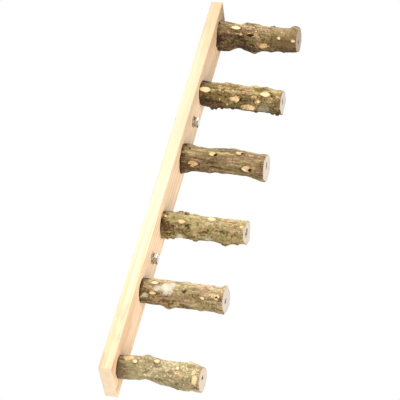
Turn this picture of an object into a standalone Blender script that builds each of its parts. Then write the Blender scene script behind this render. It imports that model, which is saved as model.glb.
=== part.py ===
"""Wooden bird ladder: a pine board, six natural branch perches and two cage bolts.

Metres, +Z up the board, +Y out of its back. The origin is the middle of the
board's back face, which goes against the cage.
"""

import math
from collections import namedtuple

import bmesh
import bpy

MM = 0.001

# Fits
SEAT_GAP = 0.3 * MM  # between two faces that rest on each other
HOLE_GAP = 0.3 * MM  # all round a shank in its hole

# Board
BOARD_LENGTH = 500 * MM
BOARD_WIDTH = 48 * MM
BOARD_THICKNESS = 13 * MM
BOARD_EASE = 0.8 * MM  # rounding of the sawn edges
TOP_MARGIN = 27 * MM  # board end to the first perch
BOTTOM_MARGIN = 18.5 * MM  # last perch to board end

# Wood screws, countersunk from the back into each perch
SCREW_SHANK_RADIUS = 2.25 * MM
SCREW_HEAD_RADIUS = 4.4 * MM
SCREW_HEAD_RIM = 0.4 * MM
SCREW_SINK = 0.3 * MM  # head below the board's back face
SCREW_BITE = 32 * MM  # length inside the perch
SCREW_POINT = 6 * MM
RECESS_SPAN = 4.6 * MM
RECESS_WIDTH = 1.1 * MM
RECESS_DEPTH = 1.6 * MM

# Cage bolts, M6 with hexagon heads on the front
THREAD_RADIUS = 3 * MM
THREAD_LEAD_IN = 0.6 * MM
HEX_ACROSS_FLATS = 10 * MM
HEAD_HEIGHT = 4 * MM
NUT_HEIGHT = 3.2 * MM
BOLT_TAIL = 1.4 * MM  # thread left beyond the nut
HEX_CHAMFER_ANGLE = math.radians(30)
HEX_CROWN = 0.95  # flat circle of a hexagon's end over its width
BLANK_MARGIN = 0.3 * MM  # turned blank outside the hexagon's corners
WASHER_THICKNESS = 1.6 * MM
HEAD_WASHER_RADIUS = 6 * MM
CLAMP_WASHER_RADIUS = 9 * MM
PERCH_ABOVE_BOLT = {"upper": 2, "lower": 4}  # counted from the top
UPPER_BOLT_RISE = 4 * MM  # above the middle between its two perches
LOWER_BOLT_DROP = 3 * MM  # below the middle between its two perches

# Bark
BARK_RIPPLE = 0.22 * MM
BARK_WAVE = 17 * MM  # length of one ripple along a perch

# Facets
PERCH_SIDES = 26
PERCH_RINGS = 17
TURN_STEPS = 24
SCREW_STEPS = 14

# A knot is a swelling of the branch, in millimetres and in degrees round from +X
Knot = namedtuple("Knot", "along around rise length width")
# A perch in millimetres; base, bow and tip are sideways offsets of its middle in X and Z
Perch = namedtuple("Perch", "length base_radius tip_radius shift base bow tip knots")

PERCHES = (
    Perch(91, 14.2, 13.2, 0.0, (0.9, -1.1), (0.3, -0.4), (-0.3, 0.4), (
        Knot(5, 312, 3.2, 9, 13),
        Knot(9, 134, 2.6, 8, 9),
        Knot(20.5, 175, 0.9, 6, 4),
        Knot(35, 134, 1.9, 8, 10),
        Knot(39, 312, 3.3, 8, 9),
        Knot(54, 257, 1.5, 7, 5),
        Knot(86, 134, 2.0, 7, 12),
        Knot(28, 40, 1.8, 7, 7),
        Knot(66, 20, 1.5, 6, 6),
    )),
    Perch(90, 13.6, 12.7, 0.0, (0.0, 0.0), (0.3, -0.3), (1.0, -1.2), (
        Knot(5.5, 203, 1.2, 6, 5),
        Knot(14, 311, 1.9, 7, 9),
        Knot(28, 133, 2.4, 5, 8),
        Knot(40, 229, 1.1, 6, 4),
        Knot(55, 274, 1.0, 7, 5),
        Knot(68, 133, 2.2, 8, 8),
        Knot(73, 193, 1.1, 6, 4),
        Knot(84, 311, 1.7, 6, 9),
        Knot(22, 50, 1.6, 6, 6),
        Knot(60, 15, 1.7, 7, 6),
    )),
    Perch(92, 13.0, 12.5, -3.0, (0.0, 0.0), (-0.2, 0.3), (0.3, -0.4), (
        Knot(2, 310, 4.2, 7, 12),
        Knot(5, 130, 2.9, 7, 11),
        Knot(14, 245, 1.1, 6, 4),
        Knot(20, 310, 1.0, 5, 6),
        Knot(34, 188, 1.1, 5, 4),
        Knot(53, 131, 2.2, 15, 10),
        Knot(64, 161, 1.6, 6, 5),
        Knot(72, 241, 1.5, 6, 5),
        Knot(89, 310, 4.6, 9, 9),
        Knot(45, 35, 1.7, 7, 7),
    )),
    Perch(89, 12.8, 12.2, -1.5, (0.2, -0.3), (0.3, -0.4), (0.3, -0.4), (
        Knot(6, 311, 1.6, 7, 9),
        Knot(18, 139, 2.4, 6, 7),
        Knot(23, 205, 1.3, 6, 5),
        Knot(36, 297, 1.9, 6, 7),
        Knot(53, 172, 1.1, 6, 4),
        Knot(67, 308, 3.2, 7, 8),
        Knot(30, 60, 1.5, 6, 6),
        Knot(72, 30, 1.6, 7, 6),
    )),
    Perch(86, 12.7, 12.9, 2.5, (0.0, 0.1), (0.0, 0.0), (-0.1, 0.2), (
        Knot(12, 167, 1.0, 5, 4),
        Knot(13.5, 218, 1.1, 5, 4),
        Knot(28, 294, 2.0, 6, 6),
        Knot(64, 214, 0.9, 4, 3),
        Knot(75, 197, 1.3, 6, 5),
        Knot(20, 45, 1.5, 6, 6),
        Knot(55, 25, 1.7, 7, 6),
    )),
    Perch(83, 10.9, 12.5, 0.5, (-0.3, 0.4), (-0.7, 0.9), (0.5, -0.6), (
        Knot(12, 130, 2.4, 9, 9),
        Knot(18.5, 171, 1.0, 5, 4),
        Knot(29, 128, 2.9, 7, 9),
        Knot(39, 160, 1.0, 5, 4),
        Knot(50, 190, 0.9, 4, 3),
        Knot(60, 179, 1.0, 5, 4),
        Knot(62, 302, 2.4, 10, 10),
        Knot(69, 135, 1.7, 8, 9),
        Knot(40, 30, 1.6, 7, 7),
    )),
)

# Base colour, roughness and metallic value of each finish
PINE = ((0.86, 0.68, 0.45), 0.6, 0.0)
BARK = ((0.24, 0.19, 0.09), 0.85, 0.0)
ZINC = ((0.66, 0.67, 0.68), 0.32, 1.0)
PASSIVATED = ((0.62, 0.50, 0.26), 0.38, 1.0)

# Local +Z of a piece to the board's back (+Y) or front (-Y)
TO_BACK = (-math.pi / 2, 0, 0)
TO_FRONT = (math.pi / 2, 0, 0)


def clear_scene():
    for old in list(bpy.data.objects):
        bpy.data.objects.remove(old, do_unlink=True)


def new_collection(name):
    collection = bpy.data.collections.new(name)
    bpy.context.scene.collection.children.link(collection)
    return collection


def finish(name, look):
    """One Principled material for one piece."""
    colour, roughness, metallic = look
    material = bpy.data.materials.new(name)
    material.use_nodes = True
    shader = material.node_tree.nodes["Principled BSDF"]
    shader.inputs["Base Color"].default_value = (*colour, 1.0)
    shader.inputs["Roughness"].default_value = roughness
    shader.inputs["Metallic"].default_value = metallic
    return material


def add_object(name, mesh, collection, parent, location=(0, 0, 0), rotation=(0, 0, 0)):
    piece = bpy.data.objects.new(name, mesh)
    collection.objects.link(piece)
    piece.parent = parent
    piece.location = location
    piece.rotation_euler = rotation
    return piece


def add_empty(name, collection, parent, location):
    return add_object(name, None, collection, parent, location)


def hide_cutter(cutter):
    cutter.hide_render = True
    cutter.display_type = "WIRE"


def smooth(mesh, angle):
    mesh.shade_smooth()
    mesh.set_sharp_from_angle(angle=angle)


def turn_profile(piece, steps):
    """Sweep the piece's profile once round its own Z axis."""
    screw = piece.modifiers.new("turn", "SCREW")
    screw.axis = "Z"
    screw.steps = steps
    screw.render_steps = steps
    screw.use_merge_vertices = True
    screw.merge_threshold = 0.000001


def profile_mesh(name, points, closed=False):
    """Edges through (radius, height) points, top to bottom on the outer side."""
    edges = [(i, i + 1) for i in range(len(points) - 1)]
    if closed:
        edges.append((len(points) - 1, 0))
    mesh = bpy.data.meshes.new(name)
    mesh.from_pydata([(radius, 0, height) for radius, height in points], edges, [])
    return mesh


def cut(piece, operand, operation="DIFFERENCE"):
    boolean = piece.modifiers.new("cut", "BOOLEAN")
    boolean.operation = operation
    boolean.solver = "EXACT"
    boolean.object = operand


def perch_heights():
    """Height of each perch's screw on the board, from the top perch down."""
    top = BOARD_LENGTH / 2 - TOP_MARGIN
    pitch = (BOARD_LENGTH - TOP_MARGIN - BOTTOM_MARGIN) / (len(PERCHES) - 1)
    return [top - i * pitch + perch.shift * MM for i, perch in enumerate(PERCHES)]


def bolt_height(place):
    rise = {"upper": UPPER_BOLT_RISE, "lower": -LOWER_BOLT_DROP}[place]
    above = PERCH_ABOVE_BOLT[place]
    heights = perch_heights()
    return (heights[above - 1] + heights[above]) / 2 + rise


def screw_profile(gap, top):
    """Countersunk wood screw from top down to its point, grown by gap all round.

    Height zero is the board's back face, and the screw runs down from it.
    """
    rim = -SCREW_SINK - SCREW_HEAD_RIM - gap
    cone = SCREW_HEAD_RADIUS - SCREW_SHANK_RADIUS
    end = -(BOARD_THICKNESS + SEAT_GAP + SCREW_BITE)
    return [
        (0, top),
        (SCREW_HEAD_RADIUS + gap, top),
        (SCREW_HEAD_RADIUS + gap, rim),
        (SCREW_SHANK_RADIUS + gap, rim - cone),
        (SCREW_SHANK_RADIUS + gap, end + SCREW_POINT),
        (0, end - gap),
    ]


def hex_radius():
    return HEX_ACROSS_FLATS / math.sqrt(3)


def chamfer_drop(blank_radius):
    """How far a hexagon's chamfer runs down from its crown circle."""
    crown = HEX_ACROSS_FLATS / 2 * HEX_CROWN
    return (blank_radius - crown) * math.tan(HEX_CHAMFER_ANGLE)


def hex_cutter(name, collection, parent, low, high):
    """Hexagonal bar along local Z that squares a turned blank into a hexagon.

    Its corners fall between the blank's facets.
    """
    bm = bmesh.new()
    bmesh.ops.create_cone(
        bm, cap_ends=True, segments=6, radius1=hex_radius(), radius2=hex_radius(), depth=high - low
    )
    bmesh.ops.translate(bm, verts=bm.verts, vec=(0, 0, (high + low) / 2))
    mesh = bpy.data.meshes.new(name)
    bm.to_mesh(mesh)
    bm.free()
    half_step = math.pi / TURN_STEPS
    bar = add_object(name, mesh, collection, parent, rotation=(TO_BACK[0], half_step, 0))
    hide_cutter(bar)
    return bar


def branch_offset(perch, share):
    """Sideways place of the branch's middle, a share of the way from base to tip."""
    bend = math.sin(math.pi * share)
    return [
        (base + (tip - base) * share + bow * bend) * MM
        for base, bow, tip in zip(perch.base, perch.bow, perch.tip)
    ]


def branch_radius(perch, angle, along):
    """Radius of the bark: taper, a little waviness and the swellings of the knots."""
    share = along / (perch.length * MM)
    mean = (perch.base_radius + (perch.tip_radius - perch.base_radius) * share) * MM
    wave = 2 * math.pi * along / BARK_WAVE
    ripple = math.sin(wave + 3 * angle) + math.sin(1.7 * wave - 2 * angle + perch.length)
    radius = mean + BARK_RIPPLE * ripple
    for knot in perch.knots:
        turn = angle - math.radians(knot.around)
        turn = math.atan2(math.sin(turn), math.cos(turn))
        down = (along - knot.along * MM) / (knot.length * MM)
        across = turn * mean / (knot.width * MM)
        radius += knot.rise * MM * math.exp(-down * down - across * across)
    return radius


def perch_mesh(name, perch):
    """Ringed cylinder along local Z, drawn out to the branch's own form."""
    length = perch.length * MM
    bm = bmesh.new()
    bmesh.ops.create_cone(
        bm, cap_ends=True, segments=PERCH_SIDES, radius1=1, radius2=1, depth=length
    )
    bmesh.ops.translate(bm, verts=bm.verts, vec=(0, 0, length / 2))
    sides = [edge for edge in bm.edges if abs(edge.verts[0].co.z - edge.verts[1].co.z) > length / 2]
    bmesh.ops.subdivide_edges(bm, edges=sides, cuts=PERCH_RINGS - 1, use_grid_fill=True)
    for vert in bm.verts:
        angle = math.atan2(vert.co.y, vert.co.x)
        radius = branch_radius(perch, angle, vert.co.z)
        aside, up = branch_offset(perch, vert.co.z / length)
        vert.co.x = aside + radius * math.cos(angle)
        vert.co.y = up + radius * math.sin(angle)
    mesh = bpy.data.meshes.new(name)
    bm.to_mesh(mesh)
    bm.free()
    smooth(mesh, math.radians(50))
    return mesh


def make_board(parts, root, screw_holes, bolt_holes):
    bm = bmesh.new()
    bmesh.ops.create_cube(bm, size=1)
    bmesh.ops.scale(bm, verts=bm.verts, vec=(BOARD_WIDTH, BOARD_THICKNESS, BOARD_LENGTH))
    bmesh.ops.translate(bm, verts=bm.verts, vec=(0, -BOARD_THICKNESS / 2, 0))
    mesh = bpy.data.meshes.new("board")
    bm.to_mesh(mesh)
    bm.free()
    mesh.materials.append(finish("board_pine", PINE))
    board = add_object("board", mesh, parts, root)
    ease = board.modifiers.new("eased edges", "BEVEL")
    ease.width = BOARD_EASE
    ease.segments = 2
    for hole in (*screw_holes, *bolt_holes):
        cut(board, hole)


def make_screw_hole(number, height, cutters, root):
    mesh = profile_mesh(f"screw_hole_{number}", screw_profile(HOLE_GAP, HOLE_GAP))
    hole = add_object(mesh.name, mesh, cutters, root, (0, 0, height), TO_BACK)
    turn_profile(hole, SCREW_STEPS)
    hide_cutter(hole)
    return hole


def make_perch(number, perch, height, parts, root, screw_hole):
    mesh = perch_mesh(f"perch_{number}", perch)
    mesh.materials.append(finish(f"perch_{number}_bark", BARK))
    place = (0, -BOARD_THICKNESS - SEAT_GAP, height)
    piece = add_object(mesh.name, mesh, parts, root, place, TO_FRONT)
    cut(piece, screw_hole)


def make_recess_cutter(number, height, cutters, root):
    """Cross-shaped driver recess, as two crossed bars joined into one."""
    bars = []
    for turn, mark in ((0, "a"), (math.pi / 2, "b")):
        bm = bmesh.new()
        bmesh.ops.create_cube(bm, size=1)
        bmesh.ops.scale(bm, verts=bm.verts, vec=(RECESS_SPAN, RECESS_WIDTH, 2 * RECESS_DEPTH))
        mesh = bpy.data.meshes.new(f"recess_{number}_{mark}")
        bm.to_mesh(mesh)
        bm.free()
        place = (0, -SCREW_SINK, height)
        bar = add_object(mesh.name, mesh, cutters, root, place, (TO_BACK[0], turn, 0))
        hide_cutter(bar)
        bars.append(bar)
    cut(bars[0], bars[1], "UNION")
    return bars[0]


def make_perch_screw(number, height, parts, cutters, root):
    mesh = profile_mesh(f"perch_screw_{number}", screw_profile(0, -SCREW_SINK))
    mesh.materials.append(finish(f"perch_screw_{number}_steel", PASSIVATED))
    screw = add_object(mesh.name, mesh, parts, root, (0, 0, height), TO_BACK)
    turn_profile(screw, SCREW_STEPS)
    cut(screw, make_recess_cutter(number, height, cutters, root))


def make_bolt_hole(place, cutters, axis):
    """Plain clearance hole right through the board."""
    bm = bmesh.new()
    radius = THREAD_RADIUS + HOLE_GAP
    bmesh.ops.create_cone(
        bm, cap_ends=True, segments=TURN_STEPS, radius1=radius, radius2=radius, depth=2 * BOARD_THICKNESS
    )
    mesh = bpy.data.meshes.new(f"bolt_hole_{place}")
    bm.to_mesh(mesh)
    bm.free()
    hole = add_object(mesh.name, mesh, cutters, axis, (0, -BOARD_THICKNESS / 2, 0), TO_BACK)
    hide_cutter(hole)
    return hole


def head_washer_seat():
    return -BOARD_THICKNESS - SEAT_GAP


def head_seat():
    return head_washer_seat() - WASHER_THICKNESS - SEAT_GAP


def nut_seat():
    return SEAT_GAP + WASHER_THICKNESS + SEAT_GAP


def make_bolt(place, parts, cutters, axis):
    """Turned bolt, with its head squared to a hexagon by the bar it is cut from."""
    under = head_seat()
    top = under - HEAD_HEIGHT
    end = nut_seat() + NUT_HEIGHT + BOLT_TAIL
    blank = hex_radius() + BLANK_MARGIN
    crown = HEX_ACROSS_FLATS / 2 * HEX_CROWN
    mesh = profile_mesh(f"cage_bolt_{place}", [
        (0, end),
        (THREAD_RADIUS - THREAD_LEAD_IN, end),
        (THREAD_RADIUS, end - THREAD_LEAD_IN),
        (THREAD_RADIUS, under),
        (blank, under),
        (blank, top + chamfer_drop(blank)),
        (crown, top),
        (0, top),
    ])
    mesh.materials.append(finish(f"cage_bolt_{place}_zinc", ZINC))
    bolt = add_object(mesh.name, mesh, parts, axis, rotation=TO_BACK)
    turn_profile(bolt, TURN_STEPS)
    bar = hex_cutter(f"bolt_bar_{place}", cutters, axis, top - HEAD_HEIGHT, end + HEAD_HEIGHT)
    cut(bolt, bar, "INTERSECT")


def make_washer(name, radius, seat, parts, axis):
    """Flat ring whose near face is at seat, measured from the board's back face."""
    bore = THREAD_RADIUS + HOLE_GAP
    mesh = profile_mesh(name, [
        (bore, WASHER_THICKNESS),
        (radius, WASHER_THICKNESS),
        (radius, 0),
        (bore, 0),
    ], closed=True)
    mesh.materials.append(finish(f"{name}_zinc", ZINC))
    washer = add_object(name, mesh, parts, axis, (0, seat, 0), TO_BACK)
    turn_profile(washer, TURN_STEPS)


def make_nut(place, parts, cutters, axis):
    """Thin hexagon nut, chamfered on both sides."""
    bore = THREAD_RADIUS + HOLE_GAP
    blank = hex_radius() + BLANK_MARGIN
    crown = HEX_ACROSS_FLATS / 2 * HEX_CROWN
    low = nut_seat()
    high = low + NUT_HEIGHT
    drop = chamfer_drop(blank)
    mesh = profile_mesh(f"clamp_nut_{place}", [
        (bore, high),
        (crown, high),
        (blank, high - drop),
        (blank, low + drop),
        (crown, low),
        (bore, low),
    ], closed=True)
    mesh.materials.append(finish(f"clamp_nut_{place}_zinc", ZINC))
    nut = add_object(mesh.name, mesh, parts, axis, rotation=TO_BACK)
    turn_profile(nut, TURN_STEPS)
    bar = hex_cutter(f"nut_bar_{place}", cutters, axis, low - NUT_HEIGHT, high + NUT_HEIGHT)
    cut(nut, bar, "INTERSECT")


def main():
    clear_scene()
    parts = new_collection("bird_ladder")
    cutters = new_collection("cutters")
    root = add_empty("board_back", parts, None, (0, 0, 0))

    heights = perch_heights()
    screw_holes = []
    for number, (perch, height) in enumerate(zip(PERCHES, heights), 1):
        hole = make_screw_hole(number, height, cutters, root)
        screw_holes.append(hole)
        make_perch(number, perch, height, parts, root, hole)
        make_perch_screw(number, height, parts, cutters, root)

    bolt_holes = []
    for place in PERCH_ABOVE_BOLT:
        axis = add_empty(f"{place}_bolt_axis", parts, root, (0, 0, bolt_height(place)))
        bolt_holes.append(make_bolt_hole(place, cutters, axis))
        make_bolt(place, parts, cutters, axis)
        front = head_washer_seat() - WASHER_THICKNESS
        make_washer(f"head_washer_{place}", HEAD_WASHER_RADIUS, front, parts, axis)
        make_washer(f"clamp_washer_{place}", CLAMP_WASHER_RADIUS, SEAT_GAP, parts, axis)
        make_nut(place, parts, cutters, axis)

    make_board(parts, root, screw_holes, bolt_holes)


main()
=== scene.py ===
"""Wooden bird ladder: bark, sawn wood and plated steel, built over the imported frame.

Metres, +Z up the board, +Y out of its back. The perches stand out along -Y.
"""

import math
from collections import namedtuple
from functools import partial

import bpy
import numpy as np
from mathutils import Matrix, Quaternion, Vector
from mathutils.bvhtree import BVHTree


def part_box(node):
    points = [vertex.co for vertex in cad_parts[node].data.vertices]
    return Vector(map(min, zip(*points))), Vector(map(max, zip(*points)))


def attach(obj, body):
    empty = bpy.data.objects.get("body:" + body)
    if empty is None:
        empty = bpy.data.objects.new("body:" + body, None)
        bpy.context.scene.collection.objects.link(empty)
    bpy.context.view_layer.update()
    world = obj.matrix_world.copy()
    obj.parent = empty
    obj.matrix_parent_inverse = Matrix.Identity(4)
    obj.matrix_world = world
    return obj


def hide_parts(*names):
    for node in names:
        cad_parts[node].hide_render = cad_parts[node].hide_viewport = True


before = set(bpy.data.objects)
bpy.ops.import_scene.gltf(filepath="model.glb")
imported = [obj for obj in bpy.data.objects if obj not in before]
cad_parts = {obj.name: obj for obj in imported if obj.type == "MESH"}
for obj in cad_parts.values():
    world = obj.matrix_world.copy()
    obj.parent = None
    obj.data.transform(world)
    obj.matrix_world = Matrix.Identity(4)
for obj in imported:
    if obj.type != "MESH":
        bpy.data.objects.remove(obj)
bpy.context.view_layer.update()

bl_info = {
    "name": "Wooden bird ladder",
    "version": (1, 0, 0),
    "blender": (4, 5, 0),
    "location": "View3D > Sidebar > Bird ladder",
    "description": "Branch perches, pine board and cage bolts of a single-rail bird ladder",
    "category": "Add Mesh",
}

MM = 0.001
MERGE = 0.001 * MM

# A mark on the bark. Along is counted from the board; along, length and width are in
# millimetres, around is in degrees from +X, and tone is how fresh or how strong it is.
Mark = namedtuple("Mark", "kind along around length width tone")

# A perch's own look: its bark's dark, middle and light colours, how rough, streaked, olive and
# ruddy it is, how strong its painted shade underneath and painted light on top are, its pale pores,
# the wood of its sawn end, the radius of its hollow pith in millimetres, the slant of the saw cut in
# degrees, and its marks
Perch = namedtuple("Perch", "dark middle light rough streak olive ruddy under pores end pith slant marks")

# The bark colours grow paler from the top perch down, partly as painted light, and the top perch's darker
# sawn end is painted shade
PERCHES = (
    Perch("#3A2811", "#756140", "#B7A078", 1.05, 0.45, 0.22, 0.36, 0.33, 40, "#A69F92", 2.3, 4, (
        Mark("dip", 21, 305, 22, 26, 1.0),
        Mark("dip", 21, 132, 20, 20, 0.5),
        Mark("dip", 0, 195, 16, 36, -0.9),
        Mark("dip", 0, 130, 12, 22, 0.5),
        Mark("calm", 82, 215, 56, 60, 0.7),
        Mark("stain", 36, 183, 26, 22, -0.14),
        Mark("flake", 11, 140, 13, 9, 0.0),
        Mark("flake", 35, 139, 14, 11, 0.0),
        Mark("flake", 60, 137, 6, 6, 0.8),
        Mark("flake", 85.5, 140, 9, 14, 0.1),
        Mark("stub", 20, 184, 11.5, 5.2, 1.0),
        Mark("speck", 26.5, 215, 3.6, 3.2, 0.7),
        Mark("strip", 35.5, 206, 9, 1.8, 0.72),
        Mark("scar", 38, 215, 12, 5, 1.0),
        Mark("torn", 44.5, 225, 10, 5.5, 0.5),
        Mark("strip", 44, 220, 11, 1.3, 0.62),
        Mark("strip", 45.5, 226, 10, 1.1, 0.5),
        Mark("strip", 47, 232, 9, 1.0, 0.56),
        Mark("stub", 54, 257, 12.5, 6.0, 0.62),
        Mark("strip", 53.5, 249, 9, 1.4, 0.8),
        Mark("scar", 48.5, 282, 3, 3.6, 0.7),
        Mark("scar", 61.3, 243, 1.4, 19, 0.4),
        Mark("speck", 69.5, 217, 4.2, 3.8, 1.0),
        Mark("strip", 87, 224, 6.5, 4.6, 1.0),
        Mark("speck", 72, 191, 2.6, 2.2, 0.8),
        Mark("speck", 43, 194, 3.0, 2.2, 0.8),
        Mark("scar", 3.5, 246, 8, 5, 0.5),
        Mark("stub", 30, 40, 9, 5, 0.8),
        Mark("stub", 66, 20, 8, 5, 0.6),
    )),
    Perch("#3D2A10", "#79673E", "#C7B07B", 0.95, 0.5, 0.22, 0.28, 0.26, 48, "#CDCECB", 3.1, 2, (
        Mark("dip", 0, 205, 14, 36, -0.7),
        Mark("stain", 14, 185, 18, 22, 0.06),
        Mark("stain", 42, 250, 12, 20, -0.12),
        Mark("stain", 85, 185, 24, 24, -0.15),
        Mark("stub", 6, 206, 12.5, 5.6, 1.0),
        Mark("stub", 40, 232, 12.5, 7.4, 0.75),
        Mark("speck", 42.6, 236, 5, 4, 1.0),
        Mark("stub", 72, 201, 12.5, 6.0, 0.96),
        Mark("scar", 79, 207, 5.5, 3.6, 0.6),
        Mark("speck", 65.2, 237, 3.8, 3.4, 1.0),
        Mark("strip", 55, 272, 15.5, 9, 0.86),
        Mark("lichen", 71.5, 272, 20, 15, 0.38),
        Mark("torn", 51, 194, 13, 7, 0.4),
        Mark("scar", 49, 213, 7, 2.4, 0.6),
        Mark("scar", 24.5, 199, 3, 2.6, 0.6),
        Mark("speck", 31, 266, 2.4, 3.0, 0.7),
        Mark("speck", 22.5, 243, 2.2, 4.0, 0.62),
        Mark("speck", 86, 208, 2.6, 2.0, 0.8),
        Mark("scar", 5, 252, 9, 7, 0.45),
        Mark("flake", 13, 300, 3.4, 5, 0.8),
        Mark("flake", 18, 298, 3.4, 5, 1.0),
        Mark("flake", 24, 302, 3.4, 5, 0.9),
        Mark("flake", 36, 297, 4, 5, 0.5),
        Mark("flake", 62, 299, 4, 5, 0.6),
        Mark("flake", 80, 300, 4, 5, 0.8),
        Mark("flake", 86, 300, 4, 5, 0.8),
        Mark("stub", 22, 50, 9, 5, 0.7),
        Mark("stub", 60, 15, 9, 5, 0.9),
    )),
    Perch("#4A361B", "#84714F", "#BDA87C", 0.6, 0.9, 0.15, 0.40, 0.14, 22, "#D0D2D0", 3.1, 6, (
        Mark("stain", 36, 250, 26, 24, 0.13),
        Mark("stain", 54, 250, 16, 24, -0.08),
        Mark("stub", 14.5, 242, 13.5, 5.4, 0.74),
        Mark("scar", 9, 250, 4, 3, 0.6),
        Mark("stub", 34, 189, 8.5, 5.4, 0.78),
        Mark("scar", 37, 193, 4, 3.4, 0.95),
        Mark("stub", 62.5, 173, 9.5, 5.2, 0.72),
        Mark("scar", 64.8, 173, 4, 3, 0.9),
        Mark("stub", 71, 240, 11.5, 7.6, 0.82),
        Mark("scar", 74.8, 244, 4, 3.4, 0.95),
        Mark("scar", 8.2, 173, 2.8, 3.2, 0.85),
        Mark("torn", 57, 209, 10, 3, 0.35),
        Mark("torn", 35, 214, 13, 3, 0.35),
        Mark("stub", 45, 35, 9, 5, 0.8),
    )),
    Perch("#5A481F", "#9F9063", "#CFC093", 1.0, 0.5, 0.20, 0.28, 0.12, 80, "#CDCCC7", 3.8, 5, (
        Mark("stain", 10, 190, 46, 36, 0.18),
        Mark("stain", 68, 255, 16, 24, 0.20),
        Mark("stain", 72, 185, 28, 22, -0.13),
        Mark("speck", 4, 182, 3.2, 3.4, 1.0),
        Mark("stub", 22, 204, 8.5, 4.8, 0.86),
        Mark("scar", 26, 222, 8, 5, 0.55),
        Mark("stub", 52, 172, 9.5, 5.6, 1.0),
        Mark("scar", 58, 186, 3, 3, 0.6),
        Mark("lichen", 20, 276, 9, 10, 0.7),
        Mark("lichen", 50, 272, 17, 9, 0.5),
        Mark("strip", 85, 190, 6, 5, 0.82),
        Mark("torn", 75, 179, 18, 7, 0.65),
        Mark("torn", 12.5, 224, 9, 5, 0.4),
        Mark("scar", 5, 255, 12, 14, 0.5),
        Mark("flake", 18, 138, 5, 8, 0.2),
        Mark("flake", 24.5, 140, 5, 8, 0.7),
        Mark("flake", 7, 300, 3.4, 5, 0.8),
        Mark("flake", 12.5, 298, 3.4, 5, 0.9),
        Mark("flake", 36, 300, 6, 5, 0.5),
        Mark("scar", 68, 262, 9, 7, 0.3),
        Mark("flake", 66, 299, 6, 5, 0.5),
        Mark("flake", 80, 300, 4, 5, 0.6),
        Mark("stub", 30, 60, 8, 5, 0.7),
        Mark("stub", 72, 30, 9, 5, 0.9),
    )),
    Perch("#644D28", "#A18E69", "#D2C49D", 0.9, 0.5, 0.14, 0.42, 0.25, 120, "#C8CAC6", 2.6, 5.5, (
        Mark("dip", 0, 210, 14, 40, -1.0),
        Mark("stain", 47, 250, 24, 24, 0.10),
        Mark("stain", 68, 185, 36, 26, -0.12),
        Mark("lichen", 27, 192, 17, 16, 1.0),
        Mark("lichen", 18, 194, 13, 9, 0.72),
        Mark("lichen", 5, 234, 9, 9, 0.6),
        Mark("dip", 29, 300, 14, 14, -0.5),
        Mark("lichen", 28, 296, 10, 5, 0.45),
        Mark("flake", 47, 137, 4, 5, 0.2),
        Mark("flake", 71, 137, 5, 6, 0.1),
        Mark("flake", 86, 138, 5, 6, 0.1),
        Mark("stub", 13.3, 174, 8.5, 4.2, 0.92),
        Mark("stub", 13, 221, 8, 3.8, 0.84),
        Mark("scar", 44.3, 203, 10, 4.2, 0.66),
        Mark("torn", 46, 217, 8, 4.5, 0.4),
        Mark("stub", 63.5, 217, 5, 3.4, 0.94),
        Mark("strip", 73.5, 201, 11, 5, 0.86),
        Mark("strip", 78.5, 205, 8, 6, 0.95),
        Mark("scar", 77.5, 207, 3.0, 2.0, 0.9),
        Mark("scar", 81.5, 211, 5, 1.4, 0.6),
        Mark("scar", 71, 205, 1.6, 1.2, 0.5),
        Mark("stub", 20, 45, 8, 5, 0.8),
        Mark("stub", 55, 25, 9, 5, 0.9),
    )),
    Perch("#665A3E", "#A1946F", "#DCD0A9", 0.9, 0.6, 0.14, 0.22, 0.04, 330, "#CFCABD", 2.5, 5, (
        Mark("dip", 27, 305, 34, 30, 1.0),
        Mark("dip", 0, 205, 14, 40, -1.0),
        Mark("calm", 6, 235, 44, 50, 0.6),
        Mark("stain", 4, 240, 24, 46, 0.12),
        Mark("strip", 9, 152, 14, 8, 0.82),
        Mark("stub", 17, 177, 5.5, 4.5, 0.92),
        Mark("stub", 38, 165, 6, 4.5, 0.92),
        Mark("stub", 59, 182, 4.5, 4, 0.92),
        Mark("speck", 57.6, 204, 2.8, 2.4, 1.0),
        Mark("strip", 63, 206, 11, 4.5, 0.84),
        Mark("strip", 50, 190, 5, 2.2, 0.85),
        Mark("speck", 53.2, 219, 2.6, 2.0, 0.9),
        Mark("strip", 78, 223, 7.5, 14, 0.92),
        Mark("strip", 76, 190, 5.5, 7, 0.86),
        Mark("stub", 40, 30, 9, 5, 0.8),
    )),
)

# A soft box of the studio: its place and width in metres, its power in watts, and its colour
SoftBox = namedtuple("SoftBox", "name place width power colour")

SOFT_BOXES = (
    SoftBox("key_soft_box", (-2.00, 0.90, 2.00), 1.4, 99, "#FFFDF6"),
    SoftBox("front_soft_box", (-0.35, -1.3, -0.45), 0.9, 15.5, "#FFECDC"),
    SoftBox("side_soft_box", (1.55, -0.45, 1.25), 0.9, 3.2, "#FFFFFF"),
)


def linear(colour):
    """An sRGB hex colour as a linear one, with full alpha."""
    values = [int(colour[i:i + 2], 16) / 255 for i in (1, 3, 5)]
    return (*[v / 12.92 if v <= 0.04045 else ((v + 0.055) / 1.055) ** 2.4 for v in values], 1.0)


def colour_property(name, description, colour):
    return bpy.props.FloatVectorProperty(
        name=name, description=description, subtype="COLOR", size=4, min=0, max=1, default=linear(colour)
    )


def length_property(name, description, millimetres):
    return bpy.props.FloatProperty(
        name=name, description=description, subtype="DISTANCE", unit="LENGTH", default=millimetres * MM
    )


def angle_property(name, description, degrees):
    return bpy.props.FloatProperty(
        name=name, description=description, subtype="ANGLE", unit="ROTATION", default=math.radians(degrees)
    )


def share_property(name, description, share):
    return bpy.props.FloatProperty(
        name=name, description=description, subtype="FACTOR", min=0, max=1, default=share
    )


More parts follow.
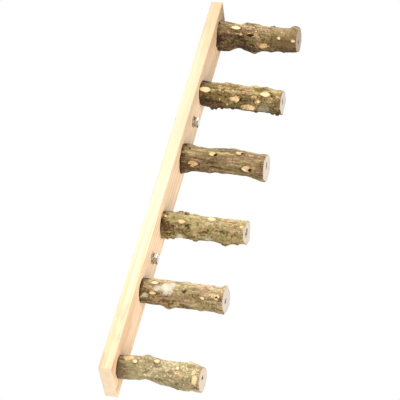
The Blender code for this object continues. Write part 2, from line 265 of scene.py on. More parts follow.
class PerchSettings(bpy.types.PropertyGroup):
    """Sizes and colours of the branch perches."""

    around: bpy.props.IntProperty(
        name="Points around", description="Mesh points round a branch", default=256
    )
    along: bpy.props.IntProperty(
        name="Points along", description="Mesh points along a branch", default=261
    )
    facet: length_property("Facet", "Size of the solid's facets, which are smoothed away", 2.2)
    lump: length_property("Lumps", "Size of the broad swellings of the bark", 5)
    lump_height: length_property("Lump height", "Height of the broad swellings", 0.40)
    scale: length_property("Scales", "Size of the bark's scales", 2.2)
    scale_height: length_property("Scale height", "Height of the bark's scales", 0.12)
    grit: length_property("Grit", "Size of the finest grains", 1.2)
    grit_height: length_property("Grit height", "Height of the finest grains", 0.06)
    crease_width: length_property("Crease spacing", "Spacing of the creases round the branch", 1.8)
    crease_length: length_property("Crease length", "Length of a crease along the branch", 9)
    crease_depth: length_property("Crease depth", "Depth of the creases", 0.25)
    bark: length_property("Bark thickness", "Bark seen round a sawn end", 0.6)
    ring: length_property("Growth ring", "Width of a year's growth in a branch", 1.5)
    screw_hole: length_property("Screw hole", "Radius of the hole for the screw", 2.55)
    hole_point: length_property("Hole point", "Length of the hole's tapering end", 6)
    hole_room: length_property("Hole room", "Room past the tip of the screw", 0.3)
    cut_reach: length_property("Cut reach", "Bark drawn in to meet a slanting saw cut", 20)
    pith_depth: length_property("Pith depth", "Depth of the hollow pith in a sawn tip", 1.4)
    check_depth: length_property("Check depth", "Depth of the fine cracks in a sawn tip", 0.35)
    cut_wood: colour_property("Cut wood", "Fresh wood of a trimmed twig", "#EEDCAE")
    aged_wood: colour_property("Aged wood", "Weathered wood of a trimmed twig", "#C6A578")
    torn_bark: colour_property("Torn bark", "Inner bark at the rim of a cut", "#7A5638")
    end_rim: colour_property("End rim", "Bark seen at the rim of a sawn end", "#A28463")
    # Colour of the pith and of painted shade in cracks, holes, creases, round cuts and at the foot
    crack: colour_property("Crack", "Depth of a crack or hole", "#241507")
    lichen: colour_property("Lichen", "Crust of grey lichen", "#D6D2C2")
    olive: colour_property("Olive bark", "Green film on the bark", "#7D7446")
    ruddy: colour_property("Ruddy bark", "Bark with the outer skin rubbed off", "#8C6B57")
    end_ring: colour_property("Ring line", "Late wood line in a sawn end", "#CDB5A4")


class BoardSettings(bpy.types.PropertyGroup):
    """Grain and colours of the pine board."""

    ring: length_property("Growth ring", "Width of a year's growth", 4.2)
    fibre: length_property("Fibre", "Width of the finest streaks", 0.7)
    early_wood: colour_property("Early wood", "Pale wood between the ring lines", "#F3E0C5")
    late_wood: colour_property("Late wood", "Darker wood of the ring lines", "#DFBB8F")
    heart: colour_property("Heart tint", "Warmer wood toward the heart", "#EFC79C")
    # This brown is also painted shade at the top end and on the front near the lower end
    brown_and_shade: colour_property("Browned wood", "Brown wood of the ends and the upper front edge", "#C8A882")
    # Painted shade on the front round the first perch
    greyed: colour_property("Greyed wood", "Wood greyed by handling", "#90866E")


class HardwareSettings(bpy.types.PropertyGroup):
    """Sizes and finishes of the bolts, nuts, washers and screws."""

    steps: bpy.props.IntProperty(name="Steps", description="Facets round a turned piece", default=48)
    clearance: length_property("Clearance", "Room round a shank and under a head", 0.3)
    bolt_radius: length_property("Bolt radius", "Outside radius of the bolt's thread", 3.0)
    bolt_pitch: length_property("Bolt pitch", "Rise of one turn of the bolt's thread", 1.0)
    bolt_lead: length_property("Bolt lead-in", "Taper at the end of the bolt", 0.6)
    bolt_thread: share_property("Thread depth", "Depth of the bolt's thread over its pitch", 0.61)
    hex_crown: share_property("Crown", "Flat circle on a hexagon over its width across flats", 0.95)
    hex_chamfer: angle_property("Chamfer", "Slope of a hexagon's chamfered corners", 30)
    screw_radius: length_property("Screw radius", "Outside radius of the wood screw's thread", 2.25)
    screw_core: length_property("Screw core", "Radius at the root of the wood screw's thread", 1.55)
    screw_pitch: length_property("Screw pitch", "Rise of one turn of the wood screw's thread", 2.0)
    screw_rim: length_property("Screw rim", "Straight edge of the countersunk head", 0.4)
    screw_neck: length_property("Screw neck", "Plain shank under the head", 4.0)
    screw_point: length_property("Screw point", "Length of the tapering point", 6.0)
    recess_span: length_property("Recess span", "Span of the cross recess", 4.6)
    recess_width: length_property("Recess width", "Width of an arm of the cross recess", 1.1)
    recess_depth: length_property("Recess depth", "Depth of the cross recess", 1.6)
    edge: length_property("Edge rounding", "Rounding of a stamped edge", 0.18)
    flare: length_property("Nut flare", "Flare at both ends of a nut's bore", 0.5)
    overlap: length_property("Overlap", "How far a cutting or joined shape runs past the other", 1.0)
    zinc: colour_property("Zinc", "Bright zinc plate", "#CECAC2")
    zinc_shade: colour_property("Dull zinc", "Zinc dulled by handling", "#AAA497")
    gold: colour_property("Passivated zinc", "Yellow chromate film", "#D9BE74")
    gold_shade: colour_property("Film tint", "Pink and green tints of the film", "#BFA678")
    zinc_roughness: share_property("Zinc roughness", "Mean roughness of the zinc plate", 0.26)
    gold_roughness: share_property("Film roughness", "Mean roughness of the chromate film", 0.36)


class StageSettings(bpy.types.PropertyGroup):
    """Camera, room and floor."""

    camera_place: bpy.props.FloatVectorProperty(
        name="Camera", description="Camera place", subtype="XYZ", unit="LENGTH",
        default=(-1.31375, -0.41030, -1.05625)
    )
    camera_aim: bpy.props.FloatVectorProperty(
        name="Aim", description="Middle of the picture", subtype="XYZ", unit="LENGTH",
        default=(0.01453, -0.04009, -0.00488)
    )
    camera_roll: angle_property("Roll", "Turn of the picture", 15.98)
    lens: bpy.props.FloatProperty(
        name="Lens", description="Focal length in millimetres", unit="CAMERA", default=149.3
    )
    sensor: bpy.props.FloatProperty(
        name="Sensor", description="Sensor width in millimetres", unit="CAMERA", default=36
    )
    floor_drop: length_property("Floor", "Floor below the origin, clear of cameras that look up", 2400)
    floor_width: length_property("Floor width", "Width of the paper floor", 36000)
    floor_colour: colour_property("Floor", "Pale paper floor", "#F4F3F0")
    sky: share_property("Room light", "Mean light of the white room", 0.25)
    sky_tilt: bpy.props.FloatVectorProperty(
        name="Room tilt", description="How much brighter the room is toward each axis", subtype="XYZ",
        default=(-0.22, 0.0, 0.13)
    )


class LadderSettings(bpy.types.PropertyGroup):
    """All the settings of the ladder."""

    perches: bpy.props.PointerProperty(type=PerchSettings)
    board: bpy.props.PointerProperty(type=BoardSettings)
    hardware: bpy.props.PointerProperty(type=HardwareSettings)
    stage: bpy.props.PointerProperty(type=StageSettings)


# Materials

COLOUR = {"data_type": "RGBA"}
TINT = {"data_type": "RGBA", "blend_type": "COLOR"}
SOFT = {"interpolation_type": "SMOOTHSTEP"}
BUMP_FILTER = 0.1
BARK_LAYERS = ("tone", "olive", "ruddy", "bare", "dark", "lichen")


def add_node(tree, kind, inputs=(), output=None, **settings):
    """Add a shader node with its settings and its inputs, in order, and give one of its outputs."""
    node = tree.nodes.new(f"ShaderNode{kind}")
    for name, value in settings.items():
        setattr(node, name, value)
    sockets = [socket for socket in node.inputs if socket.enabled]
    for socket, value in zip(sockets, inputs):
        if isinstance(value, bpy.types.NodeSocket):
            tree.links.new(value, socket)
        else:
            socket.default_value = value
    if output:
        return node.outputs[output]
    return next(socket for socket in node.outputs if socket.enabled)


def new_material(name, **even):
    """A material, its way to add nodes and its shader, with the shader's even values set on it."""
    material = bpy.data.materials.new(name)
    material.use_nodes = True
    tree = material.node_tree
    shader = tree.nodes["Principled BSDF"]
    for label, value in even.items():
        shader.inputs[label.replace("_", " ")].default_value = value
    return material, partial(add_node, tree), shader


def finish(shader, **uneven):
    """Link what varies over the surface to the shader."""
    for label, socket in uneven.items():
        shader.id_data.links.new(socket, shader.inputs[label.replace("_", " ")])


def bark_material(number, perch, settings):
    """Dried bark: matt, dusty and streaked, olive and ruddy in patches, pale where it is cut."""
    material, node, shader = new_material(
        f"dried_bark_{number}", Specular_IOR_Level=0.2, Sheen_Weight=0.05, Sheen_Roughness=0.6
    )
    tone, olive, ruddy, bare, dark, lichen = [
        node("Attribute", output="Fac", attribute_name=name) for name in BARK_LAYERS
    ]
    place = node("TexCoord", output="Object")
    # Grains of 0.7 mm, and streaks 0.8 mm wide and 9 mm long
    grain = node("TexNoise", (place, 1 / (0.7 * MM), 3.0, 0.6))
    drawn = node("Mapping", (place, (0, 0, 0), (0, 0, 0), (1.0, 0.09, 1.0)))
    streak = node("TexNoise", (drawn, 1 / (0.8 * MM), 3.0, 0.6))
    mixed = node("Mix", (perch.streak, grain, streak))
    level = node("Math", (mixed, 0.9, tone), operation="MULTIPLY_ADD")

    deep = node("MapRange", (level, 0.45, 0.95, 0.0, 1.0), **SOFT)
    colour = node("Mix", (deep, linear(perch.dark), linear(perch.middle)), **COLOUR)
    pale = node("MapRange", (level, 0.95, 1.45, 0.0, 1.0), **SOFT)
    colour = node("Mix", (pale, colour, linear(perch.light)), **COLOUR)
    for film, tint in ((olive, settings.olive), (ruddy, settings.ruddy)):
        colour = node("Mix", (film, colour, tint[:]), **TINT)

    # Lichen breaks up into grains at its rim
    crust = node("Math", (mixed, 1.1, lichen), operation="MULTIPLY_ADD")
    crust = node("MapRange", (crust, 0.60, 1.60, 0.0, 1.0), **SOFT)
    colour = node("Mix", (crust, colour, settings.lichen[:]), **COLOUR)

    # Cut wood goes from the torn rim through weathered to fresh
    worn = node("Math", (streak, 0.3, bare), operation="MULTIPLY_ADD")
    aged = node("MapRange", (worn, 0.30, 0.62, 0.0, 1.0), **SOFT)
    wood = node("Mix", (aged, settings.torn_bark[:], settings.aged_wood[:]), **COLOUR)
    fresh = node("MapRange", (worn, 0.76, 1.16, 0.0, 1.0), **SOFT)
    wood = node("Mix", (fresh, wood, settings.cut_wood[:]), **COLOUR)
    stripped = node("MapRange", (bare, 0.10, 0.38, 0.0, 1.0), **SOFT)
    colour = node("Mix", (stripped, colour, wood), **COLOUR)

    # Painted shade from the dark layer: at the foot, in the creases, round the cuts, round the plates and
    # in cracks and holes
    shade = node("Math", (grain, 0.3, dark), operation="MULTIPLY_ADD")
    shade = node("MapRange", (shade, 0.25, 1.05, 0.0, 1.0), **SOFT)
    colour = node("Mix", (shade, colour, settings.crack[:]), **COLOUR)

    roughness = node("MapRange", (grain, 0.3, 0.7, 0.74, 0.95))
    calm = node("MapRange", (bare, 0.2, 0.6, 1.0, 0.25))
    height = node("Math", (mixed, calm), operation="MULTIPLY")
    bump = node("Bump", (0.5, 0.22 * MM, BUMP_FILTER, height))
    finish(shader, Base_Color=colour, Roughness=roughness, Normal=bump)
    return material


def sawn_end_material(number, perch, settings):
    """Sapwood sawn across: chalky and pale, faint growth rings, a dark pith and a rim of bark."""
    material, node, shader = new_material(
        f"sawn_branch_end_{number}", Roughness=0.85, Specular_IOR_Level=0.2
    )
    out, depth, dark = [
        node("Attribute", output="Fac", attribute_name=name)
        for name in ("pith_distance", "rim_depth", "dark")
    ]
    place = node("TexCoord", output="Object")
    # Rings waver over 5 mm, pores are 0.5 mm, saw lines are 0.6 mm apart
    waver = node("TexNoise", (place, 1 / (5 * MM), 2.0))
    pores = node("TexNoise", (place, 1 / (0.5 * MM), 2.0))
    drawn = node("Mapping", (place, (0, 0, 0), (0, 0.6, 0), (0.05, 1.0, 1.0)))
    sawn = node("TexNoise", (drawn, 1 / (0.6 * MM), 2.0))
    years = node("Math", (waver, 1.2 * MM, out), operation="MULTIPLY_ADD")
    years = node("Math", (years, settings.ring), operation="DIVIDE")
    years = node("Math", (years,), operation="FRACT")
    line = node("MapRange", (years, 0.55, 0.98, 0.0, 0.5), **SOFT)
    colour = node("Mix", (line, linear(perch.end), settings.end_ring[:]), **COLOUR)
    open_pores = node("MapRange", (pores, 0.55, 0.7, 0.0, 0.25), **SOFT)
    colour = node("Mix", (open_pores, colour, settings.end_ring[:]), **COLOUR)
    stain = node("MapRange", (waver, 0.52, 0.72, 0.0, 0.28), **SOFT)
    colour = node("Mix", (stain, colour, settings.aged_wood[:]), **COLOUR)
    # The pith keeps its own dark colour, and painted shade darkens the checks
    colour = node("Mix", (dark, colour, settings.crack[:]), **COLOUR)
    rim = node("Math", (pores, 0.4 * MM, depth), operation="MULTIPLY_ADD")
    rim = node("MapRange", (rim, settings.bark, settings.bark + 0.5 * MM, 1.0, 0.0), **SOFT)
    colour = node("Mix", (rim, colour, settings.end_rim[:]), **COLOUR)
    height = node("Math", (pores, sawn), operation="ADD")
    bump = node("Bump", (0.4, 0.2 * MM, BUMP_FILTER, height))
    finish(shader, Base_Color=colour, Normal=bump)
    return material


def pine_rings(node, place, long, settings):
    """How late in its year the pine grew, as ring lines that fade in and out."""
    # The trunk's heart lies 46 mm behind and 34 mm beside the board, so the faces are sawn near flat
    heart = node("Mapping", (place, (-34 * MM, -46 * MM, 0), (0, 0, 0), (1.0, 1.0, 0.0)))
    radius = node("VectorMath", (heart,), output="Value", operation="LENGTH")
    # Rings bend over 60 mm and ripple over 9 mm
    for size, depth in ((60 * MM, 15 * MM), (9 * MM, 2.4 * MM)):
        wave = node("TexNoise", (long, 1 / size, 2.0))
        radius = node("Math", (wave, depth, radius), operation="MULTIPLY_ADD")
    years = node("Math", (radius, settings.ring), operation="DIVIDE")
    years = node("Math", (years,), operation="FRACT")
    late = node("MapRange", (years, 0.25, 0.9, 0.0, 1.0), **SOFT)
    spring = node("MapRange", (years, 0.94, 1.0, 1.0, 0.0), **SOFT)
    return node("Math", (late, spring), operation="MULTIPLY")


def pine_material(settings):
    """Planed pine: silky and cream, with faint warm ring lines along the board."""
    material, node, shader = new_material("planed_pine", Specular_IOR_Level=0.35)
    low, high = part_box("board")
    half = high.z
    # Distances from the board's middle where its sawn ends start and are full
    sawn = (half - 0.5 * MM, half - 0.1 * MM)
    place = node("TexCoord", output="Object")
    up = node("SeparateXYZ", (place,), output="Z")
    away = node("Math", (up,), operation="ABSOLUTE")
    front = node("SeparateXYZ", (place,), output="Y")
    front = node("MapRange", (front, low.y, low.y + 0.5 * MM, 1.0, 0.0))
    long = node("Mapping", (place, (0, 0, 0), (0, 0, 0), (1.0, 1.0, 0.18)))
    patch = node("TexNoise", (long, 1 / (38 * MM), 2.0))

    # The rings come and go in patches of 38 mm, and the saw's fuzz veils them on the sawn ends
    strong = node("MapRange", (patch, 0.3, 0.7, 0.15, 0.85), **SOFT)
    veil = node("MapRange", (away, *sawn, 1.0, 0.4))
    late = pine_rings(node, place, long, settings)
    for share in (strong, veil):
        late = node("Math", (late, share), operation="MULTIPLY")
    colour = node("Mix", (late, settings.early_wood[:], settings.late_wood[:]), **COLOUR)

    # Fibres and stains show along the faces and less on the sawn ends
    drawn = node("Mapping", (place, (0, 0, 0), (0, 0, 0), (1.0, 1.0, 0.016)))
    fibre = node("TexNoise", (drawn, 1 / settings.fibre, 4.0, 0.6))
    fine = node("MapRange", (fibre, 0.45, 0.75, 0.0, 0.5), **SOFT)
    lying = node("MapRange", (away, *sawn, 1.0, 0.25))
    # Both ends of the board are warmer than its middle
    warm = node("MapRange", (patch, 0.40, 0.62, 0.45, 1.0), **SOFT)
    ends = node("MapRange", (away, 100 * MM, half, 0.0, 0.85), **SOFT)
    ends = node("Math", (ends, lying), operation="MULTIPLY")
    # Wavering brown streaks 5 mm wide run in from both ends
    band = node("TexNoise", (long, 1 / (5 * MM), 2.0))
    streak = node("MapRange", (band, 0.46, 0.64, 0.0, 0.75), **SOFT)
    # The front's left edge is browner above the middle, and painted shade browns the front near the lower
    # end, beside the last perch
    edge = node("Mapping", (place, (-low.x, -low.y, 0), (0, 0, 0), (1.0, 1.0, 0.0)))
    edge = node("VectorMath", (edge,), output="Value", operation="LENGTH")
    edge = node("MapRange", (edge, 0.0, 26 * MM, 0.5, 0.0), **SOFT)
    above = node("MapRange", (up, -60 * MM, 80 * MM, 0.0, 1.0), **SOFT)
    below = node("MapRange", (up, -120 * MM, -215 * MM, 0.0, 1.0), **SOFT)
    below = node("Math", (below, front), operation="MULTIPLY")
    stretch = node("Math", (above, below), operation="MAXIMUM")
    # The top end is browner still, most of all in its ring lines, partly as browned wood and partly as
    # painted shade
    lined = node("MapRange", (late, 0.0, 0.6, 0.55, 1.0))
    top = node("MapRange", (up, 150 * MM, half, 0.0, 1.0), **SOFT)
    # Painted shade greys the front round the first perch
    grey = node("MapRange", (up, 200 * MM, 235 * MM, 0.0, 0.5), **SOFT)

    # Each tint: its pattern, where on the board it shows, and its colour
    tints = (
        (fine, lying, settings.late_wood),
        (warm, ends, settings.heart),
        (streak, ends, settings.brown_and_shade),
        (edge, stretch, settings.brown_and_shade),
        (lined, top, settings.brown_and_shade),
        (grey, front, settings.greyed),
    )
    for pattern, where, tint in tints:
        share = node("Math", (pattern, where), operation="MULTIPLY")
        colour = node("Mix", (share, colour, tint[:]), **COLOUR)

    roughness = node("MapRange", (late, 0.0, 0.8, 0.62, 0.50))
    height = node("Math", (fibre, late), operation="ADD")
    bump = node("Bump", (0.3, 0.12 * MM, BUMP_FILTER, height))
    finish(shader, Base_Color=colour, Roughness=roughness, Normal=bump)
    return material


def plated_material(name, bright, dull, roughness):
    """Plated steel: a bright metal film with fine scratches and duller handled patches."""
    material, node, shader = new_material(name, Metallic=1.0)
    place = node("TexCoord", output="Object")
    # Handled patches are about 4 mm; real scratches are finer than these of 0.25 mm, which just show
    cloud = node("TexNoise", (place, 1 / (4 * MM), 2.0))
    drawn = node("Mapping", (place, (0, 0, 0), (0, 0, 0), (0.08, 1.0, 1.0)))
    scratch = node("TexNoise", (drawn, 1 / (0.25 * MM), 3.0))
    handled = node("MapRange", (cloud, 0.35, 0.7, 0.0, 1.0), **SOFT)
    colour = node("Mix", (handled, bright[:], dull[:]), **COLOUR)
    worn = node("Math", (scratch, 0.6, cloud), operation="MULTIPLY_ADD")
    gloss = node("MapRange", (worn, 0.4, 1.1, roughness - 0.07, roughness + 0.1))
    bump = node("Bump", (0.08, 0.05 * MM, BUMP_FILTER, scratch))
    finish(shader, Base_Color=colour, Roughness=gloss, Normal=bump)
    return material


def paper_material(colour):
    """Matt paper lit from beneath: even and pale, with a faint cloud of fibres."""
    material, node, shader = new_material(
        "matt_paper", Roughness=0.9, Specular_IOR_Level=0.2,
        Emission_Color=colour[:], Emission_Strength=0.5
    )
    place = node("TexCoord", output="Object")
    fibre = node("TexNoise", (place, 1 / (30 * MM), 4.0))
    cloud = node("MapRange", (fibre, 0.3, 0.7, 0.0, 0.04), **SOFT)
    finish(shader, Base_Color=node("Mix", (cloud, colour[:], linear("#FFFFFF")), **COLOUR))
    return material


# Modelling by hand

# Edges that turn by more than these degrees stay sharp in the shading
SHARP_BARK = 55
SHARP_TURNED = 40
SHARP_HEXAGON = 25


def deselect_all():
    if bpy.context.object and bpy.context.object.mode != "OBJECT":
        bpy.ops.object.mode_set(mode="OBJECT")
    bpy.ops.object.select_all(action="DESELECT")


def pick(piece):
    """Make one piece the only one selected, and the active one."""
    deselect_all()
    piece.select_set(True)
    bpy.context.view_layer.objects.active = piece


def edit_all():
    bpy.ops.object.mode_set(mode="EDIT")
    bpy.ops.mesh.select_all(action="SELECT")


def close_up():
    """Merge doubles and turn the faces outwards."""
    edit_all()
    bpy.ops.mesh.remove_doubles(threshold=MERGE)
    bpy.ops.mesh.normals_make_consistent(inside=False)
    bpy.ops.object.mode_set(mode="OBJECT")


def select_vertices(piece, wanted):
    """Select the vertices that pass a test, with the edges and faces between them, in edit mode."""
    bpy.ops.object.mode_set(mode="EDIT")
    bpy.ops.mesh.select_all(action="DESELECT")
    bpy.ops.mesh.select_mode(type="VERT")
    bpy.ops.object.mode_set(mode="OBJECT")
    for vertex in piece.data.vertices:
        vertex.select = wanted(vertex)
    bpy.ops.object.mode_set(mode="EDIT")


def draw_profile(name, points, closed=False):
    """One point drawn out through (radius, y) points, round the Y axis."""
    deselect_all()
    bpy.ops.mesh.primitive_circle_add(vertices=3, radius=MM)
    piece = bpy.context.object
    piece.name = piece.data.name = name
    edit_all()
    bpy.ops.mesh.merge(type="CENTER")
    bpy.ops.transform.translate(value=(*points[0], 0))
    for before, after in zip(points, points[1:]):
        step = (after[0] - before[0], after[1] - before[1], 0)
        bpy.ops.mesh.extrude_vertices_move(TRANSFORM_OT_translate={"value": step})
    if closed:
        ends = (0, len(points) - 1)
        select_vertices(piece, lambda vertex: vertex.index in ends)
        bpy.ops.mesh.edge_face_add()
    bpy.ops.object.mode_set(mode="OBJECT")
    return piece


def turn(name, points, steps, closed=False):
    """A piece turned on the Y axis from its profile."""
    piece = draw_profile(name, points, closed)
    edit_all()
    bpy.ops.mesh.spin(steps=steps, angle=2 * math.pi, center=(0, 0, 0), axis=(0, 1, 0))
    bpy.ops.object.mode_set(mode="OBJECT")
    close_up()
    return piece


def carve(piece, tool, operation):
    """Boolean with a tool that is then thrown away."""
    pick(piece)
    bpy.ops.object.modifier_add(type="BOOLEAN")
    modifier = piece.modifiers[-1]
    modifier.operation = operation
    modifier.solver = "EXACT"
    modifier.object = tool
    bpy.ops.object.modifier_apply(modifier=modifier.name)
    bpy.data.objects.remove(tool)
    if not piece.data.polygons:
        raise RuntimeError(f"{piece.name} has no faces left after {operation}")


def soften_shading(piece, degrees):
    pick(piece)
    bpy.ops.object.shade_smooth_by_angle(angle=math.radians(degrees))


def thread_rod(name, outer, inner, pitch, low, high, steps):
    """A threaded rod on the Y axis, cut square at both ends."""
    crest = 0.08 * pitch
    piece = draw_profile(name, [
        (inner, low - pitch),
        (outer, low - pitch / 2 - crest),
        (outer, low - pitch / 2 + crest),
        (inner, low),
    ])
    bpy.ops.object.modifier_add(type="SCREW")
    helix = piece.modifiers[-1]
    helix.axis = "Y"
    helix.steps = helix.render_steps = steps
    helix.screw_offset = pitch
    helix.iterations = math.ceil((high - low) / pitch) + 2
    helix.use_merge_vertices = True
    helix.merge_threshold = MERGE
    bpy.ops.object.modifier_apply(modifier=helix.name)
    close_up()
    for end, side in ((low, -1), (high, 1)):
        edit_all()
        bpy.ops.mesh.bisect(plane_co=(0, end, 0), plane_no=(0, side, 0), use_fill=True, clear_outer=True)
        bpy.ops.object.mode_set(mode="OBJECT")
    close_up()
    return piece


def hexagon_bar(corner, low, high):
    """A hexagonal bar along Y, with one corner at a point of the X and Z plane."""
    deselect_all()
    bpy.ops.mesh.primitive_cylinder_add(
        vertices=6, radius=corner.length, depth=high - low,
        location=(0, (low + high) / 2, 0), rotation=(-math.pi / 2, 0, 0)
    )
    bar = bpy.context.object
    bpy.ops.object.transform_apply(location=True, rotation=True, scale=True)
    first = bar.data.vertices[0].co
    turned = math.atan2(first.z, first.x) - math.atan2(corner.y, corner.x)
    bar.data.transform(Matrix.Rotation(turned, 4, "Y"))
    return bar


def node_height(node):
    low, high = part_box(node)
    return (low.z + high.z) / 2


def hex_corner(node):
    """Corner of a hexagonal node in the X and Z plane, seen from its axis."""
    height = node_height(node)
    points = [Vector((v.co.x, v.co.z - height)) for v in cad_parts[node].data.vertices]
    return max(points, key=lambda point: point.length)


def copy_to(master, name, height):
    """A copy of a piece modelled on the Y axis, with its own mesh, at its height on the board."""
    pick(master)
    bpy.ops.object.duplicate()
    piece = bpy.context.object
    piece.name = piece.data.name = name
    edit_all()
    bpy.ops.transform.translate(value=(0, 0, height))
    bpy.ops.object.mode_set(mode="OBJECT")
    return piece


def hand_over(piece, materials, body, node):
    """Give a finished piece its materials, its body and its place in the frame."""
    for material in materials:
        piece.data.materials.append(material)
    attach(piece, body)
    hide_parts(node)


def fit_bolts(masters, zinc):
    """Copy pieces to both bolts, with their names, nodes and bodies, and drop the masters."""
    for place in ("upper", "lower"):
        for master, name, node, body in masters:
            piece = copy_to(master, name.format(place), node_height(node.format(place)))
            hand_over(piece, (zinc,), body.format(place), node.format(place))
    for master, *rest in masters:
        bpy.data.objects.remove(master)


# Bark

# Angles round a branch, from +X: the side made paler by painted light, and the side that faces the viewer
PAINTED_LIGHT_SIDE = math.radians(125)
SHOWN_SIDE = math.radians(218)


def fall(values, full, none):
    """One up to full, nothing past none, and a soft step between."""
    share = np.clip((none - values) / (none - full), 0, 1)
    return share * share * (3 - 2 * share)


def hump(values, middle, spread):
    return np.exp(-((values - middle) / spread) ** 2)


class Bark:
    """A branch's bark unrolled: rows from the board to the sawn tip, columns round the branch."""

    def __init__(self, number, settings):
        low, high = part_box(f"perch_{number}")
        self.base = high.y
        self.length = high.y - low.y
        self.height = node_height(f"perch_screw_{number}")
        self.along = np.linspace(0, self.length, settings.along)[:, None]
        self.angles = np.linspace(0, 2 * math.pi, settings.around, endpoint=False)[None, :]
        self.random = np.random.default_rng(number)
        self.radius = self.measure(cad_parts[f"perch_{number}"].data)
        self.mean = self.radius.mean()
        self.radius = self.smooth(self.radius, settings.facet, settings.facet)
        self.ragged = self.patches(3 * MM, 3 * MM)
        self.frayed = self.patches(1.2 * MM, 1.2 * MM)
        for layer in BARK_LAYERS:
            setattr(self, layer, np.zeros_like(self.radius))

    def measure(self, solid):
        """Distance of the solid branch's surface from the screw's axis, met by rays from outside."""
        tree = BVHTree.FromPolygons([v.co for v in solid.vertices], [p.vertices for p in solid.polygons])
        far = 60 * MM
        inset = 0.2 * MM
        # Every fourth point is measured, and the rest are filled in between
        stride = 4
        steps = self.along[::stride, 0]
        angles = self.angles[0, ::stride]
        coarse = np.empty((len(steps), len(angles) + 1))
        for column, angle in enumerate(angles):
            outward = Vector((math.cos(angle), 0, math.sin(angle)))
            for row, step in enumerate(np.clip(steps, inset, self.length - inset)):
                start = Vector((0, self.base - step, self.height)) + outward * far
                hit = tree.ray_cast(start, -outward)[3]
                if hit is None:
                    raise RuntimeError(f"no branch surface {step / MM:.1f} mm from the board")
                coarse[row, column] = far - hit
        coarse[:, -1] = coarse[:, 0]
        turned = np.append(angles, 2 * math.pi)
        wide = np.array([np.interp(self.angles[0], turned, row) for row in coarse])
        return np.array([np.interp(self.along[:, 0], steps, column) for column in wide.T]).T

    def smooth(self, values, around, along):
        """Even values out over patches of a real size, level past both ends."""
        rows, columns = values.shape
        mirrored = np.vstack([values, values[::-1]])
        down = np.fft.fftfreq(2 * rows, self.length / (rows - 1))[:, None] * along
        across = np.fft.fftfreq(columns, 2 * math.pi * self.mean / columns)[None, :] * around
        # Waves shorter than the patch fade out
        keep = np.exp(-4 * (down ** 2 + across ** 2))
        return np.fft.ifft2(np.fft.fft2(mirrored) * keep).real[:rows]

    def patches(self, around, along):
        """Random relief of mean 0 and spread 1, with patches of a real size."""
        field = self.smooth(self.random.standard_normal(self.radius.shape), around, along)
        return (field - field.mean()) / field.std()

    def pulled(self, field, around, along):
        """A field pulled about by shifts round and along the branch."""
        rows, columns = field.shape
        row = np.arange(rows)[:, None] + along * rows / self.length
        column = np.arange(columns)[None, :] + around * columns / (2 * math.pi * self.mean)
        return field[np.clip(row, 0, rows - 1).astype(int), column.astype(int) % columns]

    def grow(self, perch, settings):
        """Swellings, scales, grit and winding creases, and the colours that go with them, with painted
        shade in the creases, at the foot and underneath.
        """
        lumps = self.patches(settings.lump, 1.4 * settings.lump)
        scales = np.tanh(1.4 * self.patches(settings.scale, 1.5 * settings.scale))
        grit = self.patches(settings.grit, settings.grit)
        sway = self.patches(7 * MM, 9 * MM)
        swing = self.patches(7 * MM, 9 * MM)
        creases = self.patches(settings.crease_width, settings.crease_length)
        creases = self.pulled(creases, 1.2 * MM * sway, 2.5 * MM * swing)
        crease = self.smooth(hump(creases, 0, 0.32), 0.5 * MM, 0.7 * MM)
        crease *= np.clip(0.75 + 0.5 * swing, 0.1, 1.4)
        knobs = np.clip(lumps - 0.7, 0, None)
        relief = settings.lump_height * (0.6 * lumps + 1.8 * knobs) + settings.scale_height * scales
        relief += settings.grit_height * grit - settings.crease_depth * crease
        self.radius += perch.rough * relief

        streaks = self.patches(0.9 * MM, 14 * MM)
        blotches = self.patches(6 * MM, 11 * MM)
        # Painted shade darkens the bark over 7 mm at its foot, where it meets the board, most of all in
        # the last 1.8 mm
        foot_shade = np.exp(-self.along / (7 * MM)) * (1 + 0.3 * self.ragged)
        contact_shade = np.exp(-self.along / (1.8 * MM)) * (1 + 0.3 * self.ragged)
        # Scales and grit vary the tone, and painted shade darkens the creases
        worn = 0.09 * scales + 0.12 * grit - 0.27 * (crease - crease.mean())
        self.tone = 0.5 + 0.16 * perch.streak * streaks + 0.06 * blotches + 0.05 * lumps
        # Painted shade lowers the tone over the foot and on the underside, and painted light raises it on
        # the top
        self.tone += perch.rough * worn - 0.45 * foot_shade + perch.under * np.cos(self.angles - PAINTED_LIGHT_SIDE)
        film = self.patches(6 * MM, 9 * MM) + 0.35 * scales
        self.olive = perch.olive * fall(-film, -0.9, 0.3)
        self.ruddy = perch.ruddy * fall(film + 0.3 * streaks, -1.0, 0.1)
        # Painted shade in the creases and at the foot goes into the dark layer
        self.dark = np.clip(0.13 * perch.rough * crease + 0.28 * foot_shade + 0.25 * contact_shade, 0, 1)

    def scatter(self, pores):
        """Pale pores in no order."""
        for along, around, length, width, tone in self.random.random((pores, 5)):
            self.pore(Mark("pore", along * self.length / MM, around * 360, 1.0 + 1.2 * length,
                           0.9 + 0.9 * width, 0.2 + 0.5 * tone))

    def angle_from(self, mark):
        """Angle round the branch from a mark's middle."""
        return np.angle(np.exp(1j * (self.angles - math.radians(mark.around))))

    def offsets(self, mark):
        """Steps along and round from a mark's middle, in its half sizes."""
        down = (self.along / MM - mark.along) / (mark.length / 2)
        across = self.angle_from(mark) * self.mean / MM / (mark.width / 2)
        return down, across

    def reach(self, mark, rag):
        """Distance from a mark's middle in its half sizes, with a ragged outline."""
        return np.hypot(*self.offsets(mark)) + rag * (0.6 * self.ragged + 0.5 * self.frayed)

    def show_wood(self, tone):
        self.bare = np.maximum(self.bare, tone)

    def darken(self, depth):
        self.dark = np.maximum(self.dark, depth)

    def stub(self, mark):
        """A twig trimmed off: a flat, egg-shaped cut with a collar of bark swollen round it."""
        down, across = self.offsets(mark)
        egg = across / (1 + 0.15 * np.clip(down, -1.4, 1.4))
